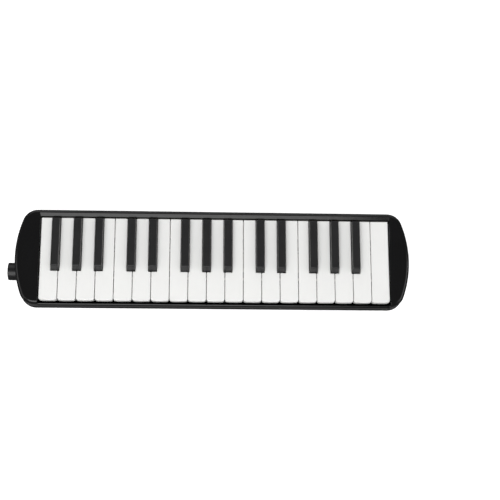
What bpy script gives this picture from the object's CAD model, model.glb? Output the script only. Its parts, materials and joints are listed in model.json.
"""Looks of a 32-key melodica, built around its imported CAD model.

Shapes are drawn in millimetres in the CAD frame (+X to the treble end, +Y away from the player,
+Z up) and scaled to metres when they become objects. Sizes come from the CAD nodes' boxes.
"""

import json
import math

import bmesh
import bpy
from mathutils import Matrix, Vector


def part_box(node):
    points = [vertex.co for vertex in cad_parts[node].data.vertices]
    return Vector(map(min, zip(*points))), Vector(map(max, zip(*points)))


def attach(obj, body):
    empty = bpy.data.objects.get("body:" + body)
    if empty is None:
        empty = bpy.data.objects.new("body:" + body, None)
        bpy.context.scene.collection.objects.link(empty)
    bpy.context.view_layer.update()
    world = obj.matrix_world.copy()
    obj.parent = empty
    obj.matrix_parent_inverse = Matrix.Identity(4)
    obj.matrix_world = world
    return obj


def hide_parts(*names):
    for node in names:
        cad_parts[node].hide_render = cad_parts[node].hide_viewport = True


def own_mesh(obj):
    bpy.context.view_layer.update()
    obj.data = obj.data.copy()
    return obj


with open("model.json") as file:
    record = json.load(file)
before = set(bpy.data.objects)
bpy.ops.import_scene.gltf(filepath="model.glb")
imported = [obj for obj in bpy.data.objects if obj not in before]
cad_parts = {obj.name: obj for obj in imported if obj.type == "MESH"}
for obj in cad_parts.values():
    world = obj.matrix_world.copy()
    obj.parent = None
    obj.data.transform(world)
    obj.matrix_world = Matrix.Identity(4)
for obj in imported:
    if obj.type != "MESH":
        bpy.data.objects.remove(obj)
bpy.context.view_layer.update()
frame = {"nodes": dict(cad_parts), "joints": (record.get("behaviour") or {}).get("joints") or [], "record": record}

MM = 0.001
record = frame["record"]
joints = {j["name"]: j for j in frame["joints"]}
colours = {m["slot"]: m["base_color"] for m in record["materials"]}


# ---- Sizes, in millimetres ----

def box_mm(node):
    """The lowest and highest corner of a CAD node."""
    low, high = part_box(node)
    return low / MM, high / MM


case_low, case_high = box_mm("bottom_case")
case_x = (case_low.x + case_high.x) / 2
half_len = (case_high.x - case_low.x) / 2
half_depth = (case_high.y - case_low.y) / 2
foot_h = case_low.z
cap_z = box_mm("top_case")[1].z
corner_r = 17
end_r = 118
# How far the upper wall and the hollow lie inside the case's plan.
wall_inset = 0.45
hollow_inset = 2.5

# Key nodes from bass to treble. A black key's name has an s, for sharp, after its letter.
key_names = [n for n in frame["nodes"] if n.startswith("key_") and n != "key_springs"]
key_names.sort(key=lambda n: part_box(n)[0].x)
white_names = [n for n in key_names if n[5] != "s"]
black_names = [n for n in key_names if n[5] == "s"]
white_box = {n: box_mm(n) for n in white_names}
black_box = {n: box_mm(n) for n in black_names}
white_z = white_box[white_names[0]][1].z
key_front_y = white_box[white_names[0]][0].y
key_rear_y = white_box[white_names[0]][1].y
black_front_y = black_box[black_names[0]][0].y
# A white key's notch clears the black key beside it by black_gap, and its front end by notch_y.
black_gap = 0.35
notch_y = black_front_y - 0.6
# The underside of a white key's plate, and the lower edge and rear face of its front lip.
plate_z = white_z - 2.4
lip_z = 33.2
lip_y = key_front_y + 1.8
# The lever under a key: half widths, undersides of spine and arm, and the arm's and pad's reach.
spine_half, arm_half, hub_half = 2, 4.2, 3.2
spine_z, arm_z = 34.8, 34
arm_y = (30, 39)
pad_z = (30.55, 33.95)
hub_r, hub_bore_r = 3.1, 1.55

# The opening in the case's top, the front rail's top and the rear slope's lower edge.
window_x = (white_box[white_names[0]][0].x - 0.9, white_box[white_names[-1]][1].x + 0.9)
window_y = (hollow_inset - half_depth, 43.9)
rail_z = 36.5
rail_angle = math.radians(20)
slope_z = 42.4
slope_angle = math.radians(22)

socket_low, socket_high = box_mm("mouth_socket")
socket_y = (socket_low.y + socket_high.y) / 2
socket_z = (socket_low.z + socket_high.z) / 2
parting_z = socket_z
button_low, button_high = box_mm("drain_button")
button_y = (button_low.y + button_high.y) / 2
button_z = (button_low.z + button_high.z) / 2

pivot = joints[white_names[0] + "_pivot"]["pos_m"]
pivot_y, pivot_z = pivot[1] / MM, pivot[2] / MM

# Length and width of the recess in the underside, and its roof.
recess = (150, 44)
recess_z = 9.5
strap_w = 24
strap_t = 1.2
# Places of the feet, to both sides, and of the case screws, from the middle of the case.
feet_at = (175, 34)
screw_places = [(-195, 30), (-195, -34), (195.3, 30), (195.3, -34)]
# Radius and height of a screw's head, then of its shank.
case_screw = (2.7, 2, 1.3, 26)
strap_screw = (2, 1.1, 1, 3.4)


# ---- Shapes ----

def spread(a, b, steps):
    """steps + 1 values from a to b."""
    return [a + (b - a) * k / steps for k in range(steps + 1)]


def arc(x, y, r, a, b, steps):
    """Points on an arc from angle a to b, in degrees."""
    turn = [math.radians(t) for t in spread(a, b, steps)]
    return [(x + r * math.cos(t), y + r * math.sin(t)) for t in turn]


def at_height(points, z):
    """Plane points lifted to height z."""
    return [(x, y, z) for x, y in points]


def loft(bm, rings):
    """Adds a closed solid through rings of points that all have the same count."""
    loops = [[bm.verts.new(p) for p in ring] for ring in rings]
    count = len(loops[0])
    for low, high in zip(loops, loops[1:]):
        for i in range(count):
            j = (i + 1) % count
            bm.faces.new((low[i], low[j], high[j], high[i]))
    bm.faces.new(list(reversed(loops[0])))
    bm.faces.new(loops[-1])


def box(bm, x, y, z):
    """A block; x, y and z each hold its two limits."""
    plan_points = [(x[0], y[0]), (x[1], y[0]), (x[1], y[1]), (x[0], y[1])]
    loft(bm, [at_height(plan_points, z[0]), at_height(plan_points, z[1])])


def prism_x(bm, x, side):
    """A solid with the outline side in y and z, from x[0] to x[1]."""
    loft(bm, [[(x[0], y, z) for y, z in side], [(x[1], y, z) for y, z in side]])


def cylinder(bm, axis, centre, r, span, steps=48):
    """A cylinder along axis "x" or "z"; centre holds its other two coordinates."""
    ring = arc(centre[0], centre[1], r, 0, 360 * (1 - 1 / steps), steps - 1)
    if axis == "z":
        loft(bm, [at_height(ring, z) for z in span])
    else:
        loft(bm, [[(x, y, z) for y, z in ring] for x in span])


def lathe(bm, place, profile, steps=64, closed=False):
    """Turns (along, radius) points about an axis; place(along, u, v) gives the point in space.
    A closed profile makes a ring, and an open one gets flat ends."""
    turns = [2 * math.pi * k / steps for k in range(steps)]
    rings = [[place(a, r * math.cos(t), r * math.sin(t)) for t in turns] for a, r in profile]
    if not closed:
        loft(bm, rings)
        return
    loops = [[bm.verts.new(p) for p in ring] for ring in rings]
    for low, high in zip(loops, loops[1:] + loops[:1]):
        for i in range(steps):
            j = (i + 1) % steps
            bm.faces.new((low[i], low[j], high[j], high[i]))


def outline(corners, inset=0.0, steps=5):
    """A closed anticlockwise outline with rounded corners (x, y, radius), moved inwards by inset.
    Its number of points doesn't depend on inset."""
    points = []
    count = len(corners)
    for i, (x, y, r) in enumerate(corners):
        back = (Vector(corners[i - 1][:2]) - Vector((x, y))).normalized()
        ahead = (Vector(corners[(i + 1) % count][:2]) - Vector((x, y))).normalized()
        turn = back.cross(ahead)
        inwards = Vector((-ahead.y + back.y, ahead.x - back.x)).normalized()
        reach = inwards.dot(Vector((-ahead.y, ahead.x)))
        corner = Vector((x, y)) + inwards * (inset / reach)
        if r == 0:
            points.append(tuple(corner))
            continue
        radius = max(0.05, r - inset if turn < 0 else r + inset)
        half = math.acos(max(-1, min(1, back.dot(ahead)))) / 2
        centre = corner + (back + ahead).normalized() * (radius / math.sin(half))
        start = corner + back * (radius / math.tan(half)) - centre
        sweep = (math.pi - 2 * half) * (1 if turn < 0 else -1)
        for t in spread(0, sweep, steps):
            points.append(tuple(centre + Matrix.Rotation(t, 2) @ start))
    return points


def solid(name, *parts):
    """An object from functions that each draw into one bmesh. It stays in millimetres."""
    bm = bmesh.new()
    for draw in parts:
        draw(bm)
    bmesh.ops.recalc_face_normals(bm, faces=bm.faces)
    mesh = bpy.data.meshes.new(name)
    bm.to_mesh(mesh)
    bm.free()
    obj = bpy.data.objects.new(name, mesh)
    bpy.context.scene.collection.objects.link(obj)
    return obj


def apply_modifiers(obj):
    """Gives obj the mesh that its modifiers make, and removes them."""
    bpy.context.view_layer.update()
    graph = bpy.context.evaluated_depsgraph_get()
    mesh = bpy.data.meshes.new_from_object(obj.evaluated_get(graph))
    old = obj.data
    obj.modifiers.clear()
    obj.data = mesh
    bpy.data.meshes.remove(old)


def combine(obj, *steps):
    """Applies (operation, other solid) steps to obj and removes the other solids."""
    for operation, other in steps:
        modifier = obj.modifiers.new("combine", "BOOLEAN")
        modifier.operation = operation
        modifier.solver = "EXACT"
        modifier.use_self = True
        modifier.object = other
    apply_modifiers(obj)
    for _, other in steps:
        mesh = other.data
        bpy.data.objects.remove(other)
        bpy.data.meshes.remove(mesh)
    return obj


def soften(obj, width, angle, chosen):
    """Rounds the edges sharper than angle degrees whose middle chosen(x, y, z) accepts."""
    bm = bmesh.new()
    bm.from_mesh(obj.data)
    # Flat areas become single faces first, so that the bevel meets few edges.
    bmesh.ops.remove_doubles(bm, verts=bm.verts, dist=0.01)
    bmesh.ops.dissolve_limit(
        bm, angle_limit=math.radians(0.15), verts=bm.verts, edges=bm.edges, delimit=set()
    )
    edges = []
    for edge in bm.edges:
        middle = (edge.verts[0].co + edge.verts[1].co) / 2
        sharp = len(edge.link_faces) == 2 and edge.calc_face_angle() > math.radians(angle)
        if sharp and chosen(*middle):
            edges.append(edge)
    bmesh.ops.bevel(
        bm, geom=edges, offset=width, offset_type="OFFSET", segments=3, profile=0.5,
        affect="EDGES", clamp_overlap=False, loop_slide=False,
    )
    bmesh.ops.remove_doubles(bm, verts=bm.verts, dist=0.004)
    bm.to_mesh(obj.data)
    bm.free()
    return obj


def shade(obj, angle=38):
    """Smooth shading that stays flat on flat faces and sharp at corners."""
    obj.data.shade_smooth()
    obj.data.set_sharp_from_angle(angle=math.radians(angle))
    modifier = obj.modifiers.new("normals", "WEIGHTED_NORMAL")
    modifier.keep_sharp = True
    return obj


# ---- Materials ----

# The range that noise seldom leaves.
NOISE_LOW, NOISE_HIGH = 0.3, 0.7


def nodes_of(name):
    """A new material, its node tree and its Principled shader."""
    material = bpy.data.materials.new(name)
    material.use_nodes = True
    tree = material.node_tree
    return material, tree, tree.nodes["Principled BSDF"]


def noise(tree, scale, detail=3.0, stretch=(1, 1, 1)):
    """Noise over the object's own coordinates, with scale features to the metre."""
    coordinates = tree.nodes.new("ShaderNodeTexCoord")
    mapping = tree.nodes.new("ShaderNodeMapping")
    texture = tree.nodes.new("ShaderNodeTexNoise")
    mapping.inputs["Scale"].default_value = stretch
    texture.inputs["Scale"].default_value = scale
    texture.inputs["Detail"].default_value = detail
    tree.links.new(coordinates.outputs["Object"], mapping.inputs["Vector"])
    tree.links.new(mapping.outputs["Vector"], texture.inputs["Vector"])
    return texture.outputs["Fac"]


def between(tree, factor, low, high):
    """A value that runs from low to high with factor."""
    node = tree.nodes.new("ShaderNodeMapRange")
    node.inputs["From Min"].default_value = NOISE_LOW
    node.inputs["From Max"].default_value = NOISE_HIGH
    node.inputs["To Min"].default_value = low
    node.inputs["To Max"].default_value = high
    tree.links.new(factor, node.inputs["Value"])
    return node.outputs["Result"]


def tint(tree, factor, colour, change):
    """A colour that varies with factor, by the share change either way."""
    ramp = tree.nodes.new("ShaderNodeValToRGB")
    ramp.color_ramp.elements[0].position = NOISE_LOW
    ramp.color_ramp.elements[1].position = NOISE_HIGH
    for element, share in zip(ramp.color_ramp.elements, (1 - change, 1 + change)):
        element.color = (*(min(1, c * share) for c in colour), 1)
    tree.links.new(factor, ramp.inputs["Fac"])
    return ramp.outputs["Color"]


def bump(tree, height, strength, depth_mm, normal=None):
    """Relief from height, on top of normal if that is given."""
    node = tree.nodes.new("ShaderNodeBump")
    node.inputs["Strength"].default_value = strength
    node.inputs["Distance"].default_value = depth_mm * MM
    tree.links.new(height, node.inputs["Height"])
    if normal:
        tree.links.new(normal, node.inputs["Normal"])
    return node.outputs["Normal"]


def plastic(
    name, colour, roughness, blotch=0.06, grain=2500, grain_depth=0.01, wave=0.0, uneven=0.17
):
    """Moulded plastic: faint blotches, uneven gloss, a fine grain and a slow waviness. The depths
    of the grain and the wave are in millimetres."""
    material, tree, shader = nodes_of(name)
    link = tree.links.new
    link(tint(tree, noise(tree, 45), colour, blotch), shader.inputs["Base Color"])
    smear = noise(tree, 160, 5.0, (1, 2.5, 1))
    gloss = between(tree, smear, roughness * (1 - uneven), roughness * (1 + uneven))
    link(gloss, shader.inputs["Roughness"])
    normal = bump(tree, noise(tree, grain, 2.0), 0.35, grain_depth)
    if wave:
        normal = bump(tree, noise(tree, 55, 1.0), 0.5, wave, normal)
    link(normal, shader.inputs["Normal"])
    shader.inputs["IOR"].default_value = 1.5
    return material


def metal(name, colour, roughness, stretch):
    """Drawn or turned metal with fine marks along one direction."""
    material, tree, shader = nodes_of(name)
    link = tree.links.new
    marks = noise(tree, 900, 4.0, stretch)
    link(tint(tree, noise(tree, 120), colour, 0.12), shader.inputs["Base Color"])
    link(between(tree, marks, roughness * 0.7, roughness * 1.5), shader.inputs["Roughness"])
    link(bump(tree, marks, 0.4, 0.01), shader.inputs["Normal"])
    shader.inputs["Metallic"].default_value = 1.0
    return material


def fibre(name, colour, scale, depth):
    """Felt or rubber: matte, with a dense irregular surface."""
    material, tree, shader = nodes_of(name)
    link = tree.links.new
    fuzz = noise(tree, scale, 6.0)
    link(tint(tree, fuzz, colour, 0.3), shader.inputs["Base Color"])
    link(bump(tree, fuzz, 0.8, depth), shader.inputs["Normal"])
    shader.inputs["Roughness"].default_value = 0.9
    shader.inputs["Sheen Weight"].default_value = 0.15
    return material


def webbing(name, colour):
    """Woven strap: ribs along its length crossed by fine wefts."""
    material, tree, shader = nodes_of(name)
    link = tree.links.new
    coordinates = tree.nodes.new("ShaderNodeTexCoord")
    waves = []
    for direction, scale in (("Y", 260), ("X", 420)):
        wave = tree.nodes.new("ShaderNodeTexWave")
        wave.bands_direction = direction
        wave.inputs["Scale"].default_value = scale
        wave.inputs["Distortion"].default_value = 0.6
        link(coordinates.outputs["Object"], wave.inputs["Vector"])
        waves.append(wave.outputs["Fac"])
    weave = tree.nodes.new("ShaderNodeMath")
    weave.operation = "MULTIPLY"
    link(waves[0], weave.inputs[0])
    link(waves[1], weave.inputs[1])
    link(tint(tree, weave.outputs["Value"], colour, 0.45), shader.inputs["Base Color"])
    link(bump(tree, weave.outputs["Value"], 0.9, 0.25), shader.inputs["Normal"])
    shader.inputs["Roughness"].default_value = 0.8
    shader.inputs["Sheen Weight"].default_value = 0.3
    return material


# How metal's fine marks stretch along its axes.
evenly = (1, 1, 1)
along_x = (0.05, 1, 1)
along_y = (1, 0.05, 1)
# Kind and settings of each finish. The record gives the colours of all but the key pads' felt.
finishes = {
    "case_gloss": (plastic, dict(roughness=0.16, blotch=0.1, grain=1200, grain_depth=0.002, wave=0.01)),
    "white_key": (plastic, dict(
        roughness=0.3, blotch=0.01, grain=900, grain_depth=0.001, wave=0.002, uneven=0.05
    )),
    "black_key": (plastic, dict(roughness=0.37, blotch=0.12, grain=3200, grain_depth=0.02)),
    "socket_plastic": (plastic, dict(roughness=0.34, blotch=0.12, grain=2600, grain_depth=0.02)),
    "button_plastic": (plastic, dict(roughness=0.36, blotch=0.12, grain=2600, grain_depth=0.02)),
    "block_plastic": (plastic, dict(roughness=0.45, blotch=0.05)),
    "comb_plastic": (plastic, dict(roughness=0.5, blotch=0.1)),
    "screw_steel": (metal, dict(roughness=0.32, stretch=evenly)),
    "spring_steel": (metal, dict(roughness=0.3, stretch=evenly)),
    "rod_steel": (metal, dict(roughness=0.2, stretch=along_x)),
    "reed_brass": (metal, dict(roughness=0.3, stretch=along_y)),
    "plate_brass": (metal, dict(roughness=0.35, stretch=along_x)),
    "gasket_rubber": (fibre, dict(scale=1500, depth=0.05)),
    "foot_rubber": (fibre, dict(scale=1800, depth=0.04)),
    "dark_felt": (fibre, dict(scale=1400, depth=0.25)),
    "pad_felt": (fibre, dict(scale=1500, depth=0.2)),
    "strap_web": (webbing, {}),
}
pad_tan = (0.55, 0.42, 0.26)
materials = {
    name: make(name, colours.get(name, pad_tan), **settings)
    for name, (make, settings) in finishes.items()
}


def finish_piece(obj, finish, body, node):
    """Scales a piece to metres and gives it its material, its body and the CAD node it stands for."""
    obj.data.transform(Matrix.Scale(MM, 4))
    obj.data.materials.append(materials[finish])
    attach(obj, body)
    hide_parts(node)
    return obj


for subpart in record["subparts"]:
    carried = frame["nodes"][subpart["node"]]
    carried.data.materials.clear()
    carried.data.materials.append(materials[subpart["material_slot"]])


# ---- Case ----

end_x = half_len - end_r
corner_y = half_depth - corner_r
corner_x = end_x + math.sqrt((end_r - corner_r) ** 2 - corner_y ** 2)
corner_a = math.degrees(math.atan2(corner_y, corner_x - end_x))


def plan(inset):
    """Plan of the case, moved inwards by inset."""
    end, corner = end_r - inset, corner_r - inset
    right = [
        *arc(corner_x, -corner_y, corner, -90, -corner_a, 14)[:-1],
        *arc(end_x, 0, end, -corner_a, corner_a, 22),
        *arc(corner_x, corner_y, corner, corner_a, 90, 14)[1:],
    ]
    left = [(-x, -y) for x, y in right]
    return [(x + case_x, y) for x, y in right + left]


def shell(bm, profile):
    """A solid through the plan at each (inset, height)."""
    loft(bm, [at_height(plan(inset), z) for inset, z in profile])


def quarter(inset, z, run, rise, steps=8):
    """The profile of a rounded edge that starts upright at (inset, z)."""
    turns = [math.radians(t) for t in spread(0, 90, steps)]
    return [(inset + run * (1 - math.cos(t)), z + rise * math.sin(t)) for t in turns]


def socket_hole():
    """A cutter for the mouth socket's hole, which both halves of the case share."""
    hole_r = 9.55
    span = (case_low.x - 8, case_low.x + 7)
    return solid("socket_hole", lambda bm: cylinder(bm, "x", (socket_y, socket_z), hole_r, span, 64))


def rail_cut(bm):
    """Opens the case's front above the rail, which slopes down to a rounded outer edge."""
    wall_y = wall_inset - half_depth
    r = 2.2
    edge_y = wall_y + r - r * math.sin(rail_angle)
    edge_z = rail_z - (window_y[0] - edge_y) * math.tan(rail_angle)
    centre = (wall_y + r, edge_z - r * math.cos(rail_angle))
    edge = arc(*centre, r, 90 + math.degrees(rail_angle), 170, 5)
    foot_z = rail_z - 3.5
    far_y, far_z = -80, 70
    side = [(0, rail_z), (window_y[0], rail_z), *edge, (wall_y - 0.35, foot_z)]
    side += [(far_y, foot_z), (far_y, far_z), (0, far_z)]
    prism_x(bm, window_x, list(reversed(side)))


def rear_funnel(bm):
    """Cuts the rear rim's slope, which turns the corner and tapers out along the window's ends."""
    top_z = cap_z + 0.5
    rear_y = window_y[1] + (top_z - slope_z) / math.tan(slope_angle)
    taper_y = 12
    flare = 1.7
    left, right = window_x[0] + 0.02, window_x[1] - 0.02
    corners = [
        (left, taper_y, slope_z), (right, taper_y, slope_z),
        (right, window_y[1], slope_z), (left, window_y[1], slope_z),
        (left, taper_y, top_z), (right, taper_y, top_z),
        (right + flare, rear_y, top_z), (left - flare, rear_y, top_z),
    ]
    points = [bm.verts.new(c) for c in corners]
    flat_faces = ((3, 2, 1, 0), (4, 5, 6, 7), (0, 1, 5, 4), (2, 3, 7, 6))
    end_faces = ((1, 2, 6), (1, 6, 5), (3, 0, 4), (3, 4, 7))
    for face in flat_faces + end_faces:
        bm.faces.new([points[k] for k in face])


def build_top_case():
    # Insets, and heights above the seam: its rounded edge, a shallow bead and the wall's foot.
    bead = [(2.0, 0), (0.35, 0), (0.1, 0.12), (0, 0.35), (0, 1.0)]
    bead += [(0.06, 1.25), (0.22, 1.5), (0.38, 1.75), (wall_inset, 2.1)]
    edge_run, edge_rise = 3.9, 4.6
    profile = [(inset, parting_z + rise) for inset, rise in bead]
    profile += quarter(wall_inset, cap_z - edge_rise, edge_run, edge_rise)
    case = solid("top_case_shell", lambda bm: shell(bm, profile))

    roof_t = 2.6
    above_z = 60
    inside = [(hollow_inset, parting_z - 2), (hollow_inset, cap_z - roof_t)]
    hollow = solid("hollow", lambda bm: shell(bm, inside))
    # A skirt hangs from the roof round the keys.
    skirt = 1.8
    skirt_x = (window_x[0] - skirt, window_x[1] + skirt)
    skirt_y = (window_y[0] + 0.1, window_y[1] + skirt)
    kept = solid("kept", lambda bm: box(bm, skirt_x, skirt_y, (lip_z, above_z)))
    combine(hollow, ("DIFFERENCE", kept))

    well_corners = [(window_x[i], window_y[j], 1.0) for i, j in ((0, 0), (1, 0), (1, 1), (0, 1))]
    well = solid(
        "well", lambda bm: loft(bm, [at_height(outline(well_corners), z) for z in (10, above_z)])
    )
    combine(
        case,
        ("DIFFERENCE", hollow),
        ("DIFFERENCE", well),
        ("DIFFERENCE", solid("rail_cut", rail_cut)),
        ("DIFFERENCE", solid("rear_funnel", rear_funnel)),
        ("DIFFERENCE", socket_hole()),
    )

    # The bevel takes the window's edges and the slope's, but spikes where the rail's ends meet them.
    def on_window(x, y, z):
        inside = window_y[0] - 1.2 < y < window_y[1] + 5.5
        from_end = min(x - window_x[0], window_x[1] - x)
        at_rail_end = from_end < 1 and y < window_y[0] + 1 and z < rail_z + 1
        return z > parting_z + 4 and inside and from_end > -2.5 and not at_rail_end

    soften(case, width=0.35, angle=16, chosen=on_window)
    finish_piece(shade(case), "case_gloss", "case", "top_case")


def build_bottom_case():
    # Insets with heights above the floor of the case, then with depths below the seam.
    base = [(8.0, 0), (6.6, 0.12), (5.7, 0.6), (5.0, 1.5), (4.6, 2.6), (4.3, 4), (2.8, 10)]
    seam = [(0.5, 1.9), (0.18, 1.4), (0.04, 1.1), (0, 0.7), (0.08, 0.3), (0.35, 0.06), (2.0, 0.06)]
    profile = [(inset, foot_h + rise) for inset, rise in base]
    profile += [(inset, parting_z - drop) for inset, drop in seam]
    case = solid("bottom_case_shell", lambda bm: shell(bm, profile))
    inside = [(8.4, foot_h + 2.4), (4.8, foot_h + 10), (2.2, parting_z + 1)]
    hollow = solid("hollow", lambda bm: shell(bm, inside))

    def recess_block(bm, grow, low, high, r):
        x, y = recess[0] / 2 + grow, recess[1] / 2 + grow
        corners = [(case_x - x, -y, r), (case_x + x, -y, r), (case_x + x, y, r), (case_x - x, y, r)]
        loft(bm, [at_height(outline(corners), z) for z in (low, high)])

    kept = solid("kept", lambda bm: recess_block(bm, 2, -1, recess_z + 2, 6))
    combine(hollow, ("DIFFERENCE", kept))
    drain_r, drain_x = 5.0, (case_high.x - 12, case_high.x + 8)
    screw_r, screw_z = 2.9, (-1, foot_h + 6)
    cutters = [
        solid("recess", lambda bm: recess_block(bm, 0, -1, recess_z, 4)),
        solid("drain_hole", lambda bm: cylinder(bm, "x", (button_y, button_z), drain_r, drain_x)),
        socket_hole(),
    ]
    for x, y in screw_places:
        cutters.append(solid(
            "counterbore", lambda bm: cylinder(bm, "z", (case_x + x, y), screw_r, screw_z, 32)
        ))
    combine(case, ("DIFFERENCE", hollow), *(("DIFFERENCE", c) for c in cutters))

    def on_openings(x, y, z):
        in_recess = abs(x - case_x) < recess[0] / 2 + 1 and abs(y) < recess[1] / 2 + 1 and z < 10
        at_screws = z < 3 and any(
            math.dist((x - case_x, y), place) < screw_r + 0.3 for place in screw_places
        )
        at_drain = x > case_high.x - 6 and math.dist((y, z), (button_y, button_z)) < drain_r + 0.3
        return in_recess or at_screws or at_drain

    soften(case, width=0.35, angle=30, chosen=on_openings)
    finish_piece(shade(case), "case_gloss", "case", "bottom_case")


# ---- Keys ----

def lever_x(node):
    """Middle of the lever under a key: under a black key's middle, or under a white key's tail."""
    if node in black_box:
        return (black_box[node][0].x + black_box[node][1].x) / 2
    return sum(tail_of(node)) / 2


def tail_of(node):
    """Left and right side of a white key between its black neighbours."""
    low, high = white_box[node]
    left, right = low.x, high.x
    for other_low, other_high in black_box.values():
        if other_low.x < low.x < other_high.x:
            left = other_high.x + black_gap
        if other_low.x < high.x < other_high.x:
            right = other_low.x - black_gap
    return left, right


def lever(x, front_y, top_z):
    """The spine, hub and pad arm under a key."""
    def spine(bm):
        box(bm, (x - spine_half, x + spine_half), (front_y, key_rear_y - 3), (spine_z, top_z))

    def arm(bm):
        box(bm, (x - arm_half, x + arm_half), arm_y, (arm_z, top_z + 0.01))

    # Tops and sides differ by hundredths of a millimetre, so that no faces coincide.
    def block(bm):
        sides = (x - hub_half, x + hub_half)
        box(bm, sides, (pivot_y - hub_r, pivot_y + hub_r), (pivot_z, top_z + 0.02))

    def hub(bm):
        half = hub_half - 0.01
        cylinder(bm, "x", (pivot_y, pivot_z), hub_r, (x - half, x + half), 32)

    return solid("lever", spine, arm, block, hub)


def pad(bm, x):
    """The felt pad that seals a tone hole."""
    corners = [(x + sx * arm_half, arm_y[j], 0.6) for sx, j in ((-1, 0), (1, 0), (1, 1), (-1, 1))]
    rows = [(0.25, pad_z[0]), (0, pad_z[0] + 0.25), (0, pad_z[1])]
    loft(bm, [at_height(outline(corners, inset), z) for inset, z in rows])


def add_lever(key, node, front_y, top_z):
    """Joins a key to its lever, bores the hub and adds the pad."""
    x = lever_x(node)
    span = (x - 8, x + 8)
    bore = solid("bore", lambda bm: cylinder(bm, "x", (pivot_y, pivot_z), hub_bore_r, span, 32))
    combine(key, ("UNION", lever(x, front_y, top_z)), ("DIFFERENCE", bore))
    finish_piece(shade(solid("pad_" + node[4:], lambda bm: pad(bm, x))), "pad_felt", node, node)


def white_rows(r, steps=5):
    """Rows of a white key's plate, from its underside to its top: inset and height."""
    turns = [math.radians(t) for t in spread(0, 90, steps)]
    return [(0, plate_z)] + [(r * (1 - math.cos(t)), white_z - r + r * math.sin(t)) for t in turns]


def build_white_key(node):
    low, high = white_box[node]
    left, right = tail_of(node)
    bow = 0.35
    front_r, edge_r, notch_r, top_r = 2.4, 0.9, 0.4, 0.8
    front = [(x, key_front_y + bow * (2 * (x - low.x) / (high.x - low.x) - 1) ** 2, 0)
             for x in spread(low.x + front_r + 0.5, high.x - front_r - 0.5, 8)]
    corners = [(low.x, key_front_y + bow, front_r), *front, (high.x, key_front_y + bow, front_r)]
    if right < high.x:
        corners += [(high.x, notch_y, edge_r), (right, notch_y, notch_r)]
    corners += [(right, key_rear_y, edge_r), (left, key_rear_y, edge_r)]
    if left > low.x:
        corners += [(left, notch_y, notch_r), (low.x, notch_y, edge_r)]
    around = outline(corners)
    # The lip ends at the point of each rounded corner that is nearest to its rear face.
    first, last = (
        min(range(len(around)), key=lambda i: math.dist(around[i], (x, lip_y))) for x in (low.x, high.x)
    )
    back_y = around[first][1]

    def plate(bm):
        rings = []
        for inset, z in white_rows(top_r):
            rings.append([bm.verts.new((x, y, z)) for x, y in outline(corners, inset)])
        count = len(around)
        for lower, upper in zip(rings, rings[1:]):
            for i in range(count):
                j = (i + 1) % count
                bm.faces.new((lower[i], lower[j], upper[j], upper[i]))
        bm.faces.new(rings[-1])
        under = rings[0]
        bm.faces.new(list(reversed(under[last:] + under[:first + 1])))
        # The lip hangs from the front part of the outline.
        rows = [under[first:last + 1]]
        for inset, z in ((0, lip_z + 0.4), (0.12, lip_z + 0.12), (0.4, lip_z)):
            moved = outline(corners, inset)[first:last + 1]
            ends = (moved[0][0], back_y), (moved[-1][0], back_y)
            rows.append([bm.verts.new((x, y, z)) for x, y in (ends[0], *moved[1:-1], ends[1])])
        for upper, lower in zip(rows, rows[1:]):
            for i in range(len(upper) - 1):
                bm.faces.new((upper[i], lower[i], lower[i + 1], upper[i + 1]))
        bm.faces.new(list(reversed(rows[-1])))
        back = [row[0] for row in rows] + [row[-1] for row in reversed(rows)]
        bm.faces.new(back)

    key = solid("white_" + node, plate)
    add_lever(key, node, key_front_y + 1, plate_z + 0.4)
    finish_piece(shade(key), "white_key", node, node)


def build_black_key(node):
    low, high = black_box[node]
    middle = (low.x + high.x) / 2
    base_half = (high.x - low.x) / 2
    taper = 0.4
    front_lean, rear_lean = 3.6, 2.0
    top_r = 0.9

    def ring(z, inset):
        up = max(0.0, (z - white_z) / (high.z - white_z))
        half = base_half - taper * up - inset
        front_y = low.y + front_lean * up + inset
        rear_y = key_rear_y - rear_lean * up - inset
        corner = max(0.35, 1.1 - inset * 0.6)
        corners = [(middle - half, front_y, corner), (middle + half, front_y, corner)]
        corners += [(middle + half, rear_y, 0.5), (middle - half, rear_y, 0.5)]
        return at_height(outline(corners), z)

    rows = [(plate_z - 0.8, 0), (white_z - 0.5, 0)]
    rows += [(z, 0) for z in spread(white_z, high.z - top_r, 4)]
    turns = [math.radians(t) for t in spread(0, 90, 6)][1:]
    rows += [(high.z - top_r + top_r * math.sin(t), top_r * (1 - math.cos(t))) for t in turns]
    key = solid("black_" + node, lambda bm: loft(bm, [ring(z, inset) for z, inset in rows]))
    add_lever(key, node, black_front_y + 0.6, plate_z - 0.5)
    finish_piece(shade(key), "black_key", node, node)


# ---- Springs ----

def coil(bm, place, length, radius, wire, turns, steps=14, sides=6):
    """A helical spring; place(along, u, v) gives the point in space."""
    rings = []
    total = turns * steps
    flat = 0.9
    low, high = wire / 2, length - wire / 2
    for k in range(total + 1):
        t = 2 * math.pi * k / steps
        share = k / total
        # Part of a turn lies flat at each end.
        along = low + (high - low) * min(1, max(0, (share * turns - flat) / (turns - 2 * flat)))
        ring = []
        for s in range(sides):
            a = 2 * math.pi * s / sides
            r = radius + wire / 2 * math.cos(a)
            ring.append(place(along + wire / 2 * math.sin(a), r * math.cos(t), r * math.sin(t)))
        rings.append(ring)
    loft(bm, rings)


def build_key_spring(node):
    low, high = box_mm("key_springs")
    x, y = lever_x(node), (low.y + high.y) / 2
    height = high.z - low.z
    coil_r, wire, turns = 2.05, 0.5, 7
    spring = solid("spring_" + node[4:], lambda bm: coil(
        bm, lambda along, u, v: (x + u, y + v, low.z + along), height, coil_r, wire, turns
    ))
    finish_piece(shade(spring, 80), "spring_steel", "case", "key_springs")
    # The spring's far side sinks the most as the key tilts.
    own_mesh(spring)


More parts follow.
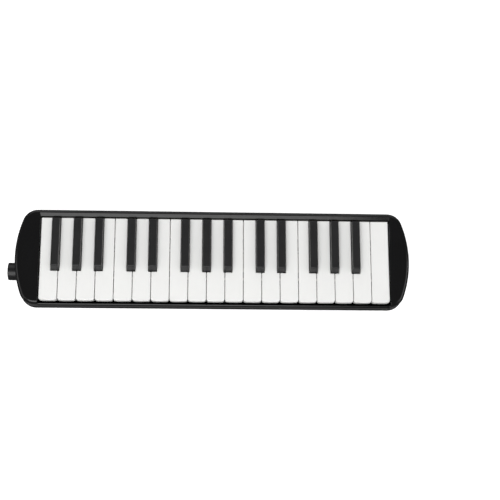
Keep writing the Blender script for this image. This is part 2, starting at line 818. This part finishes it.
def build_drain_spring():
    low, high = box_mm("drain_spring")
    length = high.x - low.x
    coil_r, wire, turns = 2.5, 0.5, 8
    spring = solid("drain_spring_coil", lambda bm: coil(
        bm, lambda along, u, v: (low.x + along, button_y + u, button_z + v), length, coil_r, wire, turns
    ))
    finish_piece(shade(spring, 80), "spring_steel", "case", "drain_spring")
    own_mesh(spring)


# ---- Mouth socket, drain button, feet ----

def build_mouth_socket():
    mouth, inner = socket_low.x, socket_high.x
    flange = inner - 7
    step = mouth + 7.5
    bore_r, duct_r, tube_r, neck_r, flange_r = 6.5, 5.4, 9.45, 8, 11
    profile = [
        (mouth + 0.5, bore_r), (mouth + 0.12, 6.75), (mouth, 7.1), (mouth, 8.7), (mouth + 0.1, 9.05),
        (mouth + 0.35, 9.32), (mouth + 0.8, tube_r), (flange, tube_r), (flange, flange_r),
        (flange + 2, flange_r), (flange + 2, neck_r), (inner - 0.4, neck_r), (inner, neck_r - 0.4),
        (inner, duct_r), (step, duct_r), (step, bore_r),
    ]
    socket = solid("mouth_socket_tube", lambda bm: lathe(
        bm, lambda a, u, v: (a, socket_y + u, socket_z + v), profile, 96, closed=True
    ))
    finish_piece(shade(socket, 32), "socket_plastic", "case", "mouth_socket")


def build_drain_button():
    tip, root = button_high.x, button_low.x
    # The stem and its head, then the knob with two grooves in its face, as depths and radii.
    profile = [(root, 2.0), (root + 1, 2.0), (root + 1, 1.2)]
    knob = [(6.8, 1.2), (6.8, 4.6), (6.5, 4.92), (0.7, 4.92), (0.3, 4.8), (0.08, 4.55), (0, 4.2)]
    grooves = [(0, 3.7), (0.25, 3.5), (0.25, 3.2), (0, 3.0)]
    grooves += [(0, 2.4), (0.25, 2.2), (0.25, 1.9), (0, 1.7)]
    profile += [(tip - depth, r) for depth, r in knob + grooves + [(0, 0.6)]]
    button = solid("drain_button_knob", lambda bm: lathe(
        bm, lambda a, u, v: (a, button_y + u, button_z + v), profile, 64
    ))
    finish_piece(shade(button, 32), "button_plastic", "drain", "drain_button")


def build_feet():
    profile = [(0, 4.6), (0, 5.2), (0.12, 5.55), (0.45, 5.85), (0.9, 6.0), (2.05, 6.0)]

    def draw(bm):
        for x in (-feet_at[0], feet_at[0]):
            for y in (-feet_at[1], feet_at[1]):
                lathe(bm, lambda a, u, v: (case_x + x + u, y + v, a), profile, 48)

    finish_piece(shade(solid("feet", draw), 40), "foot_rubber", "case", "rubber_feet")


# ---- Screws that show ----

def build_screws(name, node, places, seat_z, size):
    """Pan-head screws with a cross recess, driven upwards, with their heads' undersides at seat_z."""
    head_r, head_h, shank_r, shank_h = size
    turns = [math.radians(t) for t in spread(90, 20, 6)]
    profile = [(-head_h * math.sin(t), max(0.3, head_r * math.cos(t))) for t in turns]
    profile += [(0, head_r), (0, shank_r), (shank_h - 1.2, shank_r), (shank_h, shank_r * 0.3)]
    screw = solid(name, lambda bm: [
        lathe(bm, lambda a, u, v: (case_x + x + u, y + v, seat_z + a), profile, 32) for x, y in places
    ])

    def cross(bm):
        arm, half = head_r * 0.62, head_r * 0.13
        for x, y in places:
            for long, short in ((arm, half), (half, arm)):
                low_ring = [(long, short), (-long, short), (-long, -short), (long, -short)]
                tip = [(u * 0.45, v * 0.7) for u, v in low_ring]
                loft(bm, [
                    [(case_x + x + u, y + v, seat_z - head_h - 0.2) for u, v in low_ring],
                    [(case_x + x + u, y + v, seat_z - head_h * 0.35) for u, v in tip],
                ])

    combine(screw, ("DIFFERENCE", solid("cross", cross)))
    finish_piece(shade(screw, 30), "screw_steel", "case", node)


# ---- Hand strap ----

def strap_path():
    """Middle line of the strap, as (x, z): flat under the plates, and bowed down between them."""
    high_z, low_z = recess_z - 0.75, foot_h + 1.1 + strap_t / 2
    end, bend, flat = (recess[0] / 2 - gap for gap in (2, 12, 29))
    half = [(end, high_z), (end - 3, high_z), (end - 6, high_z), (bend, high_z)]
    for t in spread(0, 1, 10)[1:]:
        ease = 3 * t * t - 2 * t ** 3
        half.append((bend + (flat - bend) * t, high_z + (low_z - high_z) * ease))
    half += [(x, low_z) for x in spread(flat, 0, 8)[1:]]
    return [(-x, z) for x, z in half] + list(reversed(half))[1:]


def build_hand_strap():
    path = strap_path()

    def draw(bm):
        half_w, half_t = strap_w / 2, strap_t / 2
        flat_w = half_w - 0.6
        section = [(-half_w, -half_t * 0.5), (-flat_w, -half_t), (flat_w, -half_t)]
        section += [(half_w, -half_t * 0.5), (half_w, half_t * 0.5), (flat_w, half_t)]
        section += [(-flat_w, half_t), (-half_w, half_t * 0.5)]
        rings = []
        for k, (x, z) in enumerate(path):
            before, after = path[max(0, k - 1)], path[min(len(path) - 1, k + 1)]
            run = Vector((after[0] - before[0], after[1] - before[1])).normalized()
            rings.append([(case_x + x - run.y * v, u, z + run.x * v) for u, v in section])
        loft(bm, rings)

    strap = finish_piece(shade(solid("strap_webbing", draw), 50), "strap_web", "case", "hand_strap")


# ---- Stage ----

def look_matrix(azimuth, elevation, roll, place):
    """A camera's matrix: azimuth 0 looks along +Y, and place is in millimetres."""
    a, e, k = (math.radians(angle) for angle in (azimuth, elevation, roll))
    forward = Vector((math.sin(a) * math.cos(e), math.cos(a) * math.cos(e), -math.sin(e)))
    level = Vector((math.cos(a), -math.sin(a), 0))
    upward = level.cross(forward)
    right = math.cos(k) * level + math.sin(k) * upward
    up = -math.sin(k) * level + math.cos(k) * upward
    matrix = Matrix((right, up, -forward)).transposed().to_4x4()
    matrix.translation = Vector(place) * MM
    return matrix


def build_camera():
    azimuth, elevation, roll = 12.139, 76.272, 12.461
    place = (-14.166, -254.256, 1143.346)
    camera = bpy.data.objects.new("camera", bpy.data.cameras.new("camera"))
    camera.data.sensor_width = 36
    camera.data.lens = 75.88
    camera.matrix_world = look_matrix(azimuth, elevation, roll, place)
    camera.data.shift_x = -0.001
    camera.data.shift_y = 0.001
    bpy.context.scene.collection.objects.link(camera)
    bpy.context.scene.camera = camera


def build_stage():
    """A pale floor that brightens past the lights' reach, so that no horizon shows, and, far off,
    a white shell that only the camera sees. Lengths are in metres."""
    floor_half, shell_r = 8, 12
    lit_to, white_from = 0.8, 3.0
    for name, strength in (("floor", 0.65), ("backdrop", 1.0)):
        bm = bmesh.new()
        if name == "floor":
            bmesh.ops.create_grid(bm, x_segments=1, y_segments=1, size=floor_half)
        else:
            bmesh.ops.create_icosphere(bm, subdivisions=4, radius=shell_r)
        mesh = bpy.data.meshes.new(name)
        bm.to_mesh(mesh)
        bm.free()
        stage = bpy.data.objects.new(name, mesh)
        bpy.context.scene.collection.objects.link(stage)
        material, tree, shader = nodes_of(name + "_white")
        shader.inputs["Base Color"].default_value = (0.85, 0.85, 0.85, 1)
        shader.inputs["Roughness"].default_value = 0.9
        shader.inputs["Specular IOR Level"].default_value = 0.0
        shader.inputs["Emission Color"].default_value = (1, 1, 1, 1)
        distance = tree.nodes.new("ShaderNodeVectorMath")
        distance.operation = "LENGTH"
        tree.links.new(tree.nodes.new("ShaderNodeTexCoord").outputs["Object"], distance.inputs[0])
        fade = tree.nodes.new("ShaderNodeMapRange")
        fade.inputs["From Min"].default_value = lit_to
        fade.inputs["From Max"].default_value = white_from
        fade.inputs["To Min"].default_value = strength
        fade.inputs["To Max"].default_value = 1.0
        tree.links.new(distance.outputs["Value"], fade.inputs["Value"])
        tree.links.new(fade.outputs["Result"], shader.inputs["Emission Strength"])
        mesh.materials.append(material)
        stage.visible_glossy = False
        stage.visible_diffuse = name == "floor"
        stage.visible_shadow = False


def softbox(name, place, size, power, mirrored=True):
    """A rectangular area light of power watts at place, aimed at the object, all in metres.
    Glossy surfaces don't mirror it if mirrored is False."""
    aim = (0, 0, 0.03)
    light = bpy.data.lights.new(name, "AREA")
    light.shape = "RECTANGLE"
    light.size, light.size_y = size
    light.energy = power
    lamp = bpy.data.objects.new(name, light)
    lamp.location = place
    lamp.rotation_mode = "QUATERNION"
    lamp.rotation_quaternion = (Vector(place) - Vector(aim)).to_track_quat("Z", "Y")
    lamp.visible_glossy = mirrored
    bpy.context.scene.collection.objects.link(lamp)


def build_lights():
    world = bpy.data.worlds.new("studio")
    world.use_nodes = True
    world.node_tree.nodes["Background"].inputs["Color"].default_value = (1, 1, 1, 1)
    world.node_tree.nodes["Background"].inputs["Strength"].default_value = 0.12
    bpy.context.scene.world = world
    softbox("front_box", place=(-0.3, -1.0, 1.2), size=(1.3, 1.2), power=13)
    softbox("left_box", place=(-1.5, -0.2, 1.0), size=(1.2, 1.2), power=4)
    softbox("right_box", place=(1.5, -0.2, 1.0), size=(1.2, 1.2), power=6)
    softbox("rear_box", place=(0, 1.6, 1.0), size=(2.4, 1.6), power=9)
    softbox("top_fill", place=(0, 0, 1.6), size=(2.2, 1.6), power=12.5, mirrored=False)
    bpy.context.scene.view_settings.view_transform = "Standard"


build_camera()
build_lights()
build_stage()
build_top_case()
build_bottom_case()
for name in white_names:
    build_white_key(name)
for name in black_names:
    build_black_key(name)
for name in white_names + black_names:
    build_key_spring(name)
build_drain_spring()
build_mouth_socket()
build_drain_button()
build_feet()
build_screws("case_screw_set", "case_screws", screw_places, foot_h + 6, case_screw)
strap_screw_places = [(sx * (recess[0] / 2 - 7), sy * 6) for sx in (-1, 1) for sy in (-1, 1)]
build_screws("strap_screw_set", "strap_screws", strap_screw_places, recess_z - 2.4, strap_screw)
build_hand_strap()
